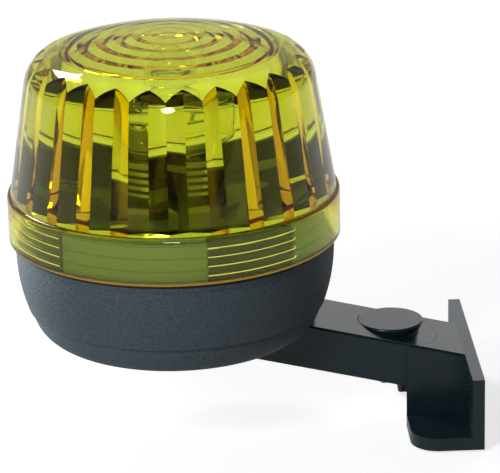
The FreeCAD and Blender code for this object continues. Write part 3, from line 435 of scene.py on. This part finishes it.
def bowl_plastic():
    """Grained grey plastic. The spigot's inside is painted near black as shade, and its outside is painted
    pale as a soft highlight, with faint rings between its threads.
    """
    material = plastic("textured_plastic", (0.076, 0.101, 0.12), 0.55, 1300.0, 0.0009, 0.8, 0.2)
    tree = material.node_tree
    shader = tree.nodes["Principled BSDF"]
    grain = shader.inputs["Base Color"].links[0].from_socket
    radius, turn, height = lamp_place(tree)
    above = math_node(tree, "GREATER_THAN", height, SEAT_Z)
    outside = math_node(tree, "GREATER_THAN", radius, SPIGOT_MIDDLE * MM)
    wave = math_node(tree, "MULTIPLY_ADD", turn, float(PATCH_COUNT), -PATCH_COUNT * math.radians(PATCH_TURN))
    patch_edge = math.cos(PATCH_COUNT * math.radians(PATCH_ANGLE / 2))
    patch = math_node(tree, "GREATER_THAN", math_node(tree, "COSINE", wave), patch_edge)
    ring_turns = 2 * math.pi / (GROOVE_PITCH * MM)
    rise = math_node(tree, "MULTIPLY_ADD", height, ring_turns, -ring_turns * (SEAT_Z + GROOVE_LOW * MM))
    groove_edge = 0.94
    groove = math_node(tree, "GREATER_THAN", math_node(tree, "COSINE", rise), groove_edge)
    # Painted highlight: the spigot's outside is painted pale as the soft reflection of the front light, with
    # darker rings, and it is left darker on the thread patches
    painted_highlight = mix_colours(tree, groove, (0.31, 0.39, 0.43, 1), (0.22, 0.27, 0.29, 1))
    threaded = mix_colours(tree, patch, painted_highlight, (0.07, 0.08, 0.08, 1))
    # Painted shade: the spigot's inside is painted near black
    spigot = mix_colours(tree, outside, (0.008, 0.01, 0.01, 1), threaded)
    tree.links.new(mix_colours(tree, above, grain, spigot), shader.inputs["Base Color"])
    return material


def metal(name, colour, roughness):
    """Bare metal with faint blotches."""
    material, tree, shader = new_material(name)
    set_values(shader, Metallic=1.0)
    noise = add_noise(tree, 900.0, 4.0)
    dark = tuple(c * 0.85 for c in colour)
    add_variation(tree, shader, noise, "Base Color", dark + (1,), colour + (1,))
    add_variation(tree, shader, noise, "Roughness", roughness * 0.8, roughness * 1.2)
    return material


def glass(name):
    """Clear glass with a faintly uneven polish."""
    material, tree, shader = new_material(name)
    set_values(shader, Base_Color=(0.97, 0.98, 0.97, 1), IOR=1.5, Transmission_Weight=1.0)
    add_variation(tree, shader, add_noise(tree, 150.0, 2.0), "Roughness", 0.0, 0.02)
    return material


def dress_cad():
    """Give every solid that stays in view its material."""
    black = plastic("black_plastic", (0.01, 0.025, 0.032), 0.24, 700.0, 0.00001)
    textured = bowl_plastic()
    deck_black = plastic("deck_plastic", (0.009, 0.01, 0.01), 0.5, 900.0, 0.00008, sheen=0.15)
    steel = metal("zinc_steel", (0.62, 0.62, 0.6), 0.3)
    shell = metal("bulb_aluminium", (0.26, 0.26, 0.25), 0.42)
    brass = metal("brass", (0.75, 0.56, 0.24), 0.3)
    clear = glass("clear_glass")
    green_board = plastic("board_green", (0.004, 0.034, 0.022), 0.45, 300.0, 0.00003, sheen=0.15)
    white = plastic("white_nylon", (0.7, 0.68, 0.64), 0.35, 400.0, 0.00003)
    cement = plastic("grey_cement", (0.26, 0.25, 0.22), 0.6, 600.0, 0.00006, sheen=0.2)
    rubber = plastic("black_rubber", (0.02, 0.02, 0.02), 0.6, 900.0, 0.0001)
    sleeve = plastic("capacitor_sleeve", (0.006, 0.008, 0.02), 0.35, 300.0, 0.00003, sheen=0.2)
    wear = {
        "wall_bracket": black, "support_arm": black, "swivel_cap": black, "base_bowl": textured,
        "lens_seal": rubber, "cable_grommet": rubber, "base_deck": deck_black, "circuit_board": green_board,
        "board_standoffs": white, "lamp_holder": deck_black, "holder_contact": brass, "bulb_contact": brass,
        "bulb_cap": shell, "bulb_glass": clear, "bulb_stem": clear, "bulb_filament": steel,
        "flash_capacitors": sleeve, "thyristor": deck_black, "drop_resistor": cement, "diodes": deck_black,
        "terminal_block": deck_black,
    }
    for name, node in nodes.items():
        for slot in node.material_slots:
            slot.material = wear.get(name, steel)
    smooth_by_angle(nodes.values(), SOLID_SHARP_ANGLE)


def seen_share(tree, glossy_share):
    """One for rays from the camera or through clear things, a share for mirrored rays, else nought."""
    path = tree.nodes.new("ShaderNodeLightPath")
    mirrored = math_node(tree, "MULTIPLY", path.outputs["Is Glossy Ray"], glossy_share)
    direct = math_node(tree, "MAXIMUM", path.outputs["Is Camera Ray"], mirrored)
    return math_node(tree, "MAXIMUM", direct, path.outputs["Is Transmission Ray"])


def make_stage():
    """A white floor just under the part, which keeps its shadow and is clear from below."""
    floor_z = cad_box[0].z - FLOOR_GAP
    corners = ((-1, -1), (1, -1), (1, 1), (-1, 1))
    mesh = bpy.data.meshes.new("floor")
    mesh.from_pydata([(x * FLOOR_REACH, y * FLOOR_REACH, floor_z) for x, y in corners], [], [(0, 1, 2, 3)])
    floor = bpy.data.objects.new("floor", mesh)
    bpy.context.scene.collection.objects.link(floor)
    material, tree, shader = new_material("studio_white")
    set_values(shader, Base_Color=(0.8, 0.8, 0.8, 1), Roughness=0.9, Specular_IOR_Level=0.1)
    set_values(shader, Emission_Color=(1, 1, 1, 1))
    radius, turn, _ = lamp_place(tree)
    glow = add_range(tree, radius, (0.2, 0.8), (0.72, 1.0))
    depth = math_node(tree, "MULTIPLY", radius, math_node(tree, "SINE", turn))
    behind = add_range(tree, depth, (0.1, 0.4), (0.15, 0.55))
    strength = math_node(tree, "MULTIPLY", glow, seen_share(tree, behind))
    tree.links.new(strength, shader.inputs["Emission Strength"])
    side = tree.nodes.new("ShaderNodeNewGeometry")
    clear = tree.nodes.new("ShaderNodeBsdfTransparent")
    either = tree.nodes.new("ShaderNodeMixShader")
    tree.links.new(side.outputs["Backfacing"], either.inputs[0])
    tree.links.new(shader.outputs["BSDF"], either.inputs[1])
    tree.links.new(clear.outputs["BSDF"], either.inputs[2])
    tree.links.new(either.outputs["Shader"], tree.nodes["Material Output"].inputs["Surface"])
    floor.data.materials.append(material)


def make_world():
    """A room that looks white, and shines more from low behind the lamp than from above and in front."""
    world = bpy.data.worlds.new("studio")
    world.use_nodes = True
    bpy.context.scene.world = world
    tree = world.node_tree
    background = tree.nodes["Background"]
    set_values(background, Color=(1, 1, 1, 1))
    coordinates = tree.nodes.new("ShaderNodeTexCoord")
    facing = tree.nodes.new("ShaderNodeVectorMath")
    facing.operation = "DOT_PRODUCT"
    facing.inputs[1].default_value = Vector((-0.2, 0.93, -0.3)).normalized()
    tree.links.new(coordinates.outputs["Generated"], facing.inputs[0])
    level = add_range(tree, facing.outputs["Value"], (-0.2, 0.6), (0.04, 0.16))
    mirrored = add_range(tree, facing.outputs["Value"], (-0.2, 0.8), (0.04, 0.4))
    strength = math_node(tree, "MAXIMUM", level, seen_share(tree, mirrored))
    tree.links.new(strength, background.inputs["Strength"])


def link_light(lamp, state, *names):
    """Let a light shine on the named objects only, or on everything but them."""
    linked = bpy.data.collections.new(lamp.name + "_receivers")
    for name in names:
        linked.objects.link(bpy.data.objects[name])
    for entry in linked.collection_objects:
        entry.light_linking.link_state = state
    lamp.light_linking.receiver_collection = linked


def add_area(name, place, size, power, shape="RECTANGLE", roll=0.0):
    """A soft light at a place counted from the lamp's seat, facing the dome."""
    light = bpy.data.lights.new(name, "AREA")
    light.shape = shape
    light.size, light.size_y = size
    light.energy = power
    lamp = bpy.data.objects.new(name, light)
    seat = Vector((LAMP_X, 0.0, SEAT_Z))
    lamp.location = seat + Vector(place)
    facing = (Vector((0.0, 0.0, AIM_HEIGHT)) - Vector(place)).to_track_quat("-Z", "Y")
    lamp.rotation_euler = (facing @ Quaternion((0, 0, 1), roll)).to_euler()
    lamp.visible_camera = False
    bpy.context.scene.collection.objects.link(lamp)
    return lamp


def make_lights():
    """A window for all, a glint for the dome alone, and three lights for all but the dome."""
    add_area("window_back_left", (-0.538, 0.962, 0.89), (0.37, 0.28), 4.6, roll=math.radians(30))
    glint = add_area("glint_front", (-0.063, -1.281, 0.733), (0.256, 0.49), 5.6, shape="ELLIPSE")
    link_light(glint, "INCLUDE", "dome")
    key = add_area("key_front_left", (-0.75, -1.05, 0.75), (0.4, 0.6), 11.0)
    link_light(key, "EXCLUDE", "dome")
    rim = add_area("rim_left", (-0.92, 0.77, 0.25), (0.5, 0.6), 30.0)
    link_light(rim, "EXCLUDE", "dome", "floor")
    card = add_area("card_back", (-0.1, 1.6, 0.55), (3.4, 1.1), 7.5)
    link_light(card, "EXCLUDE", "dome")


def make_camera():
    """The photograph's viewpoint, from a camera fitted to the dome's outline."""
    camera = bpy.data.cameras.new("camera")
    camera.sensor_width = 36.0
    camera.lens = 213.7
    camera.clip_end = 50.0
    seat = Vector((LAMP_X, 0.0, SEAT_Z))
    place = seat + Vector((-10.3, -1058.8, 368.0)) * MM
    forward = Vector((0.0344, 0.9430, -0.3311)).normalized()
    level_right = forward.cross(Vector((0, 0, 1))).normalized()
    level_up = level_right.cross(forward)
    roll = -0.0231
    right = level_right * math.cos(roll) + level_up * math.sin(roll)
    up = level_up * math.cos(roll) - level_right * math.sin(roll)
    turn = Matrix((right, up, -forward)).transposed().to_4x4()
    holder = bpy.data.objects.new("camera", camera)
    holder.matrix_world = Matrix.Translation(place) @ turn
    bpy.context.scene.collection.objects.link(holder)
    bpy.context.scene.camera = holder


dress_cad()
make_dome()
make_stage()
make_world()
make_lights()
make_camera()
bpy.context.scene.view_settings.view_transform = "Standard"
# Light is led far along the clear wall of the dome
bpy.context.scene.cycles.max_bounces = 32
bpy.context.scene.cycles.glossy_bounces = 24
bpy.context.scene.cycles.transmission_bounces = 32
